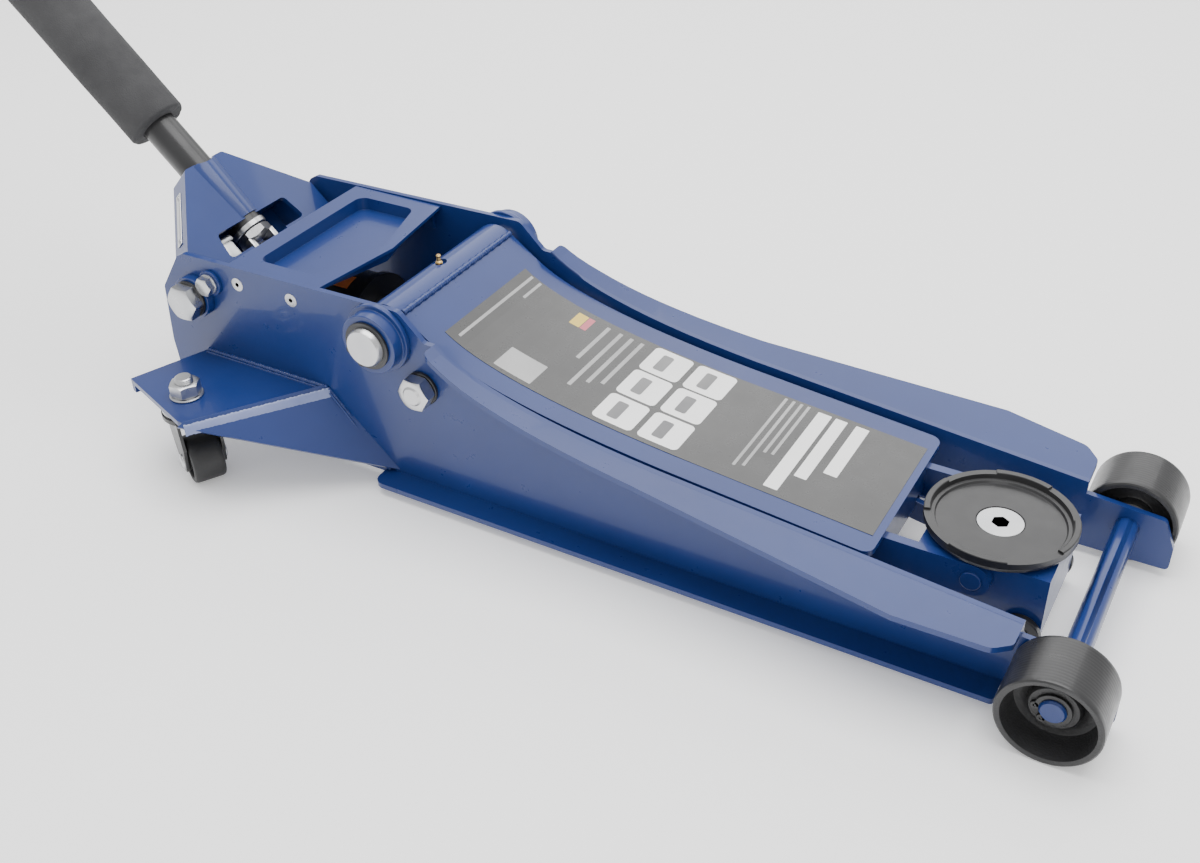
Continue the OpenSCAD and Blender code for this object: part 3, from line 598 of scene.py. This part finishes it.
for side in ("right", "left"):
    rim = [(5.05, -14.8), (8.4, -14.8), (9, -14.2), (9, -9.6), (9.8, -9), (15.4, -9), (16.2, -9.6),
           (17.2, -13.8), (18.2, -14.5)]
    edge = [(20, -14.4), (21.6, -13.6), (22.4, -11.6), (CASTER_R, -9)]
    rim = rim + edge + [(CASTER_R, 0)] + [(r, -z) for r, z in reversed(rim + edge)]
    wheel = lathe(rim, 72, closed=True)
    axle_turn = Matrix.Translation(Vector((TRAIL, 0, CASTER_R)) * MM) @ SIDEWAYS
    add_piece("caster_wheel_" + side + "_moulded", placed(wheel, on_caster(side) @ axle_turn),
              "caster_wheel_" + side, "caster_nylon", ["caster_wheel_" + side])
    pin = [(0, 0), (5, 0), (5, 18.4), (7.5, 18.5), (7.4, 19.4), (6.6, 20.3), (5.2, 20.9), (3.2, 21),
           (2.6, 20.3), (0, 20)]
    rivet = joined(lathe(pin, 40), lathe(pin, 40))
    half = rivet.verts[len(rivet.verts) // 2:]
    bmesh.ops.scale(rivet, vec=(1, 1, -1), verts=half)
    add_piece("caster_axle_" + side + "_riveted", placed(rivet, on_caster(side) @ axle_turn),
              "caster_" + side, "zinc", ["caster_axle_" + side])

# ---- handle ----

strip_low, strip_high = Vector((-86, 32)), Vector((-24.7, 101))     # y and z on the handle
edge = (strip_high - strip_low).normalized()
middle = (strip_low + strip_high) / 2
on_strip = ON_HANDLE @ Matrix.Translation(Vector((0, middle.x, middle.y)) * MM) @ Matrix.Rotation(
    math.atan2(edge.y, edge.x) + math.pi / 2, 4, "X")
plate = block((9, 1.1, 56), (-0.5, 0.65, 0), 0.4)
dome = [(0, 0), (2.6, 0), (2.5, 0.5), (1.7, 1.0), (0, 1.2)]
rivets = []
for along in (-23.5, 23.5):
    for y, facing in ((0.4, SIDEWAYS.inverted()), (1.1, SIDEWAYS)):
        foot = Matrix.Translation(Vector((-0.5, y, along)) * MM)
        rivets.append(placed(lathe(dome, 24), foot @ facing))
add_piece("socket_strip_riveted", placed(joined(plate, *rivets), on_strip), "handle_socket", "zinc",
          ["socket_strip"])

TUBE_R = 16.5
prongs = [block((18, 5.5, 18), (0, y, 8), 0.8) for y in (13.75, -13.75)]
coupling = joined(*prongs, hexagon(31, 15, 24, 0, True),
                  chamfered(18, 23.8, 29.9, 0.8, TUBE_R + 0.1), hexagon(22.4, 23.9, 40, 0, True))
add_piece("release_fork_machined", placed(coupling, ON_HANDLE), "handle", "zinc", ["release_fork"])
yoke = joined(block((14, 20, 23), (-1, -39, 15.5), 3.2), block((9, 26, 7), (-1, -37, 29), 2.0))
add_piece("pump_yoke", placed(yoke, ON_HANDLE), "handle_socket", "zinc")

SLEEVE_FROM, SLEEVE_L, SLEEVE_R = 155.0, 400.0, 29.5
outline = [(TUBE_R + 0.5, 0.5), (SLEEVE_R - 3.2, 0), (SLEEVE_R - 1.0, 0.7), (SLEEVE_R, 3)]
SLEEVE_ROWS = 60
outline += [(SLEEVE_R, 3 + (SLEEVE_L - 6) * step / SLEEVE_ROWS)
            for step in range(1, SLEEVE_ROWS + 1)]
outline += [(SLEEVE_R - 1.0, SLEEVE_L - 0.7), (SLEEVE_R - 3.2, SLEEVE_L),
            (TUBE_R + 0.5, SLEEVE_L - 0.5)]
sleeve = lathe(outline, 96, closed=True)
for v in sleeve.verts:
    out = math.hypot(v.co.x, v.co.y)
    if out > (TUBE_R + 2) * MM:
        uneven = unevenness.noise(Vector((v.co.x * 45, v.co.y * 45, v.co.z * 18)))
        fine = unevenness.noise(v.co * 190)
        shrink = 1 - 0.010 * (0.6 + uneven) - 0.003 * (1 + fine)
        v.co.x *= shrink
        v.co.y *= shrink
        if v.co.z < 1.5 * MM:
            v.co.z += (0.5 + 0.9 * unevenness.noise(v.co * 160)) * MM * 0.8
sleeve.transform(ON_HANDLE @ Matrix.Translation((0, 0, SLEEVE_FROM * MM)))
foam_piece = add_piece("handle_foam_sleeve", sleeve, "handle", "foam", ["foam_sleeve"], smooth=60)

GRIP_R, GRIP_L, HANDLE_L = 19.0, 145.0, 1155.0
grip = [(TUBE_R + 0.4, 0), (GRIP_R - 0.8, 0), (GRIP_R, 0.8), (GRIP_R, 8)]
RIBS, RIB_PITCH = 17, 7
for rib in range(RIBS):
    foot = 10 + rib * RIB_PITCH
    grip += [(GRIP_R, foot), (GRIP_R - 1.0, foot + 1.2), (GRIP_R - 1.0, foot + 3.2),
             (GRIP_R, foot + 4.4)]
grip += [(GRIP_R, 138), (GRIP_R - 1.2, 142), (GRIP_R - 4.5, 144.6), (GRIP_R - 9, GRIP_L),
         (0, GRIP_L), (0, 142), (TUBE_R + 0.4, 142)]
at_end = ON_HANDLE @ Matrix.Translation((0, 0, (HANDLE_L - GRIP_L) * MM))
add_piece("handle_grip_ribbed", placed(lathe(grip, 72, closed=True), at_end), "handle",
          "grip_rubber", ["handle_grip"])

# ---- welds ----

FOLD_LEAN = 114.0
welds = []
for start, end, radius in (((-791, 96, 81.2), (-650, 96, 81.2), 2.4),
                           ((-650, 96, 80.6), (-590, 96, 15.5), 2.4),
                           ((-790, 99.6, 81.0), (-652, 99.6, 81.0), 1.2),
                           ((-646.5, 98.8, 78.6), (-589, 98.8, 15.0), 1.1)):
    welds.append(weld(at(*start), at(*end), radius, lumps=0.10))
add_piece("bracket_welds", both_sides(joined(*welds)), "frame", "paint", smooth=60)

fold = weld(at(-720.2, 203.0, 77.8), at(-647.2, 97.6, 77.8), 4.8, pitch=3.7, lumps=0.05, flat=0.22,
            lean=FOLD_LEAN)
# The fold weld carries the lighter blue of painted highlight, not wear
add_piece("fold_weld", both_sides(fold), "frame", "paint", material=fold_weld_painted_highlight, smooth=70)

arm_weld = weld(at(-567.5, -82, 171.6), at(-567.5, 82, 171.6), 2.6, pitch=3.0)
add_piece("pivot_tube_weld", arm_weld, "lift_arm", "paint", smooth=60)

# ---- printed panels on the arm's sticker ----

ARM_FRONT, ARM_BEND = (-152, 78), (-300, 93.4)       # ends of the arm's straight part, x and z
ARM_PULL, ARM_TOP = (-489, 113.3), (-540, 151)       # the curve's pulling point and its end


def arm_height(x):
    """Height of the arm's upper face at x."""
    if x > ARM_BEND[0]:
        rise = ARM_BEND[1] - ARM_FRONT[1]
        return ARM_FRONT[1] + rise * (ARM_FRONT[0] - x) / (ARM_FRONT[0] - ARM_BEND[0])
    low_t, high_t = 0.0, 1.0
    for _ in range(24):
        t = (low_t + high_t) / 2
        shares = ((1 - t) ** 2, 2 * t * (1 - t), t * t)
        along, height = (sum(share * point[axis] for share, point in
                             zip(shares, (ARM_BEND, ARM_PULL, ARM_TOP))) for axis in (0, 1))
        low_t, high_t = (t, high_t) if along > x else (low_t, t)
    return height


def printed(x0, x1, y0, y1, corner=0.6, lift=0.5):
    """A flat patch of print that follows the arm, with rounded corners."""
    bm = bmesh.new()
    bmesh.ops.create_grid(bm, x_segments=1, y_segments=1, size=0.5)
    bmesh.ops.scale(bm, vec=((x1 - x0), (y1 - y0), 1), verts=bm.verts)
    bmesh.ops.bevel(bm, geom=bm.verts[:], offset=corner, segments=4, profile=0.5, affect="VERTICES",
                    material=-1, clamp_overlap=True)
    cuts = max(1, int((x1 - x0) / 5))
    for step in range(1, cuts):
        x = (x1 - x0) * (step / cuts - 0.5)
        bmesh.ops.bisect_plane(bm, geom=all_geometry(bm), dist=WELD_DIST, plane_co=(x, 0, 0),
                               plane_no=(1, 0, 0))
    for v in bm.verts:
        x, y = v.co.x + (x0 + x1) / 2, v.co.y + (y0 + y1) / 2
        v.co = at(x, y, arm_height(x) + lift)
    return bm


def add_print(name, patches, ink):
    add_piece(name, joined(*patches), "lift_arm", "label", material=ink, smooth=60)


PANELS = [(x0, x1, y0, y1) for x0, x1 in ((-404, -367.3), (-362.3, -325.7))
          for y0, y1 in ((23.3, 61), (-17.3, 21), (-57.7, -20.3))]

white = [printed(*panel, 4.5) for panel in PANELS]
for x0, x1, y0 in ((-217.5, -206, -15), (-235.5, -225, -31.5), (-251, -239, -56)):
    white.append(printed(x0, x1, y0, 58, 0.8))
add_print("sticker_white_panels", white, white_print)

BARS = ((2.6, 60, ((-261.5, -17), (-268, -18), (-275, -43), (-282, -46.5))),
        (3.6, 56, ((-418, -16.5), (-428.5, -23), (-439, -36), (-451.5, 0))),
        (2.4, 61, ((-538.5, -55), (-532.5, -55), (-524, 32))))
pale = [printed(x0, x0 + wide, y0, y1, 0.5) for wide, y1, starts in BARS for x0, y0 in starts]
pale.append(printed(-496.5, -461.5, -58, -28.5, 0.8))
add_print("sticker_pale_bars", pale, pale_print)

add_print("sticker_yellow_patch", [printed(-480, -470, 37, 56, 0.6)], yellow_print)
add_print("sticker_pink_patch", [printed(-469.5, -463.5, 37, 56, 0.6)], pink_print)

marks = []
for x0, x1, y0, y1 in PANELS:
    middle_x, middle_y = (x0 + x1) / 2, (y0 + y1) / 2
    marks.append(printed(middle_x - 8, middle_x + 2, middle_y - 12, middle_y + 12, 2.0, 0.62))
add_print("sticker_grey_marks", marks, grey_print)

# ---- camera, floor and light ----

camera = bpy.data.objects.new("camera", bpy.data.cameras.new("camera"))
bpy.context.scene.collection.objects.link(camera)
bpy.context.scene.camera = camera
camera.data.sensor_width = 36
camera.data.lens = 40.879
camera.data.shift_x = 0.01268
camera.data.shift_y = -0.00835
right = Vector((0.86362, 0.50330, -0.02933))
up = Vector((-0.26338, 0.50002, 0.82499))
back = Vector((0.42988, -0.70475, 0.56438))
turn = Matrix((right, up, back)).transposed().to_4x4()
camera.matrix_world = Matrix.Translation(at(71.31, -845.68, 729.84)) @ turn

FLOOR_HALF, FLOOR_GLOW, WORLD_STRENGTH = 20, 0.25, 1.0
bm = bmesh.new()
bmesh.ops.create_grid(bm, x_segments=1, y_segments=1, size=FLOOR_HALF)
floor_mesh = bpy.data.meshes.new("floor")
bm.to_mesh(floor_mesh)
bm.free()
floor = bpy.data.objects.new("floor", floor_mesh)
bpy.context.scene.collection.objects.link(floor)
floor_paint = new_material("pale_floor", Base_Color=(0.92, 0.92, 0.92, 1), Roughness=0.7,
                           Emission_Color=(1, 1, 1, 1), Emission_Strength=FLOOR_GLOW)
floor_mesh.materials.append(floor_paint)

world = bpy.data.worlds.new("studio")
bpy.context.scene.world = world
world.use_nodes = True
world.node_tree.nodes["Background"].inputs["Color"].default_value = (1, 1, 1, 1)
world.node_tree.nodes["Background"].inputs["Strength"].default_value = WORLD_STRENGTH


def soft_light(name, place, target, size, power):
    """A wide lamp at a place, facing a target; metres and watts."""
    lamp = bpy.data.lights.new(name, "AREA")
    lamp.shape = "RECTANGLE"
    lamp.size, lamp.size_y = size
    lamp.energy = power
    shown = bpy.data.objects.new(name, lamp)
    bpy.context.scene.collection.objects.link(shown)
    shown.location = place
    shown.rotation_euler = (Vector(target) - Vector(place)).to_track_quat("-Z", "Y").to_euler()


soft_light("overhead", (0.3, 0.3, 2.8), (0.3, 0.0, 0.0), (3.0, 2.4), 110)
soft_light("far_side", (0.0, 2.6, 2.1), (0.4, 0.0, 0.1), (3.6, 1.4), 34)
soft_light("near_side", (1.8, -2.4, 1.6), (0.3, 0.0, 0.1), (1.6, 1.2), 10)
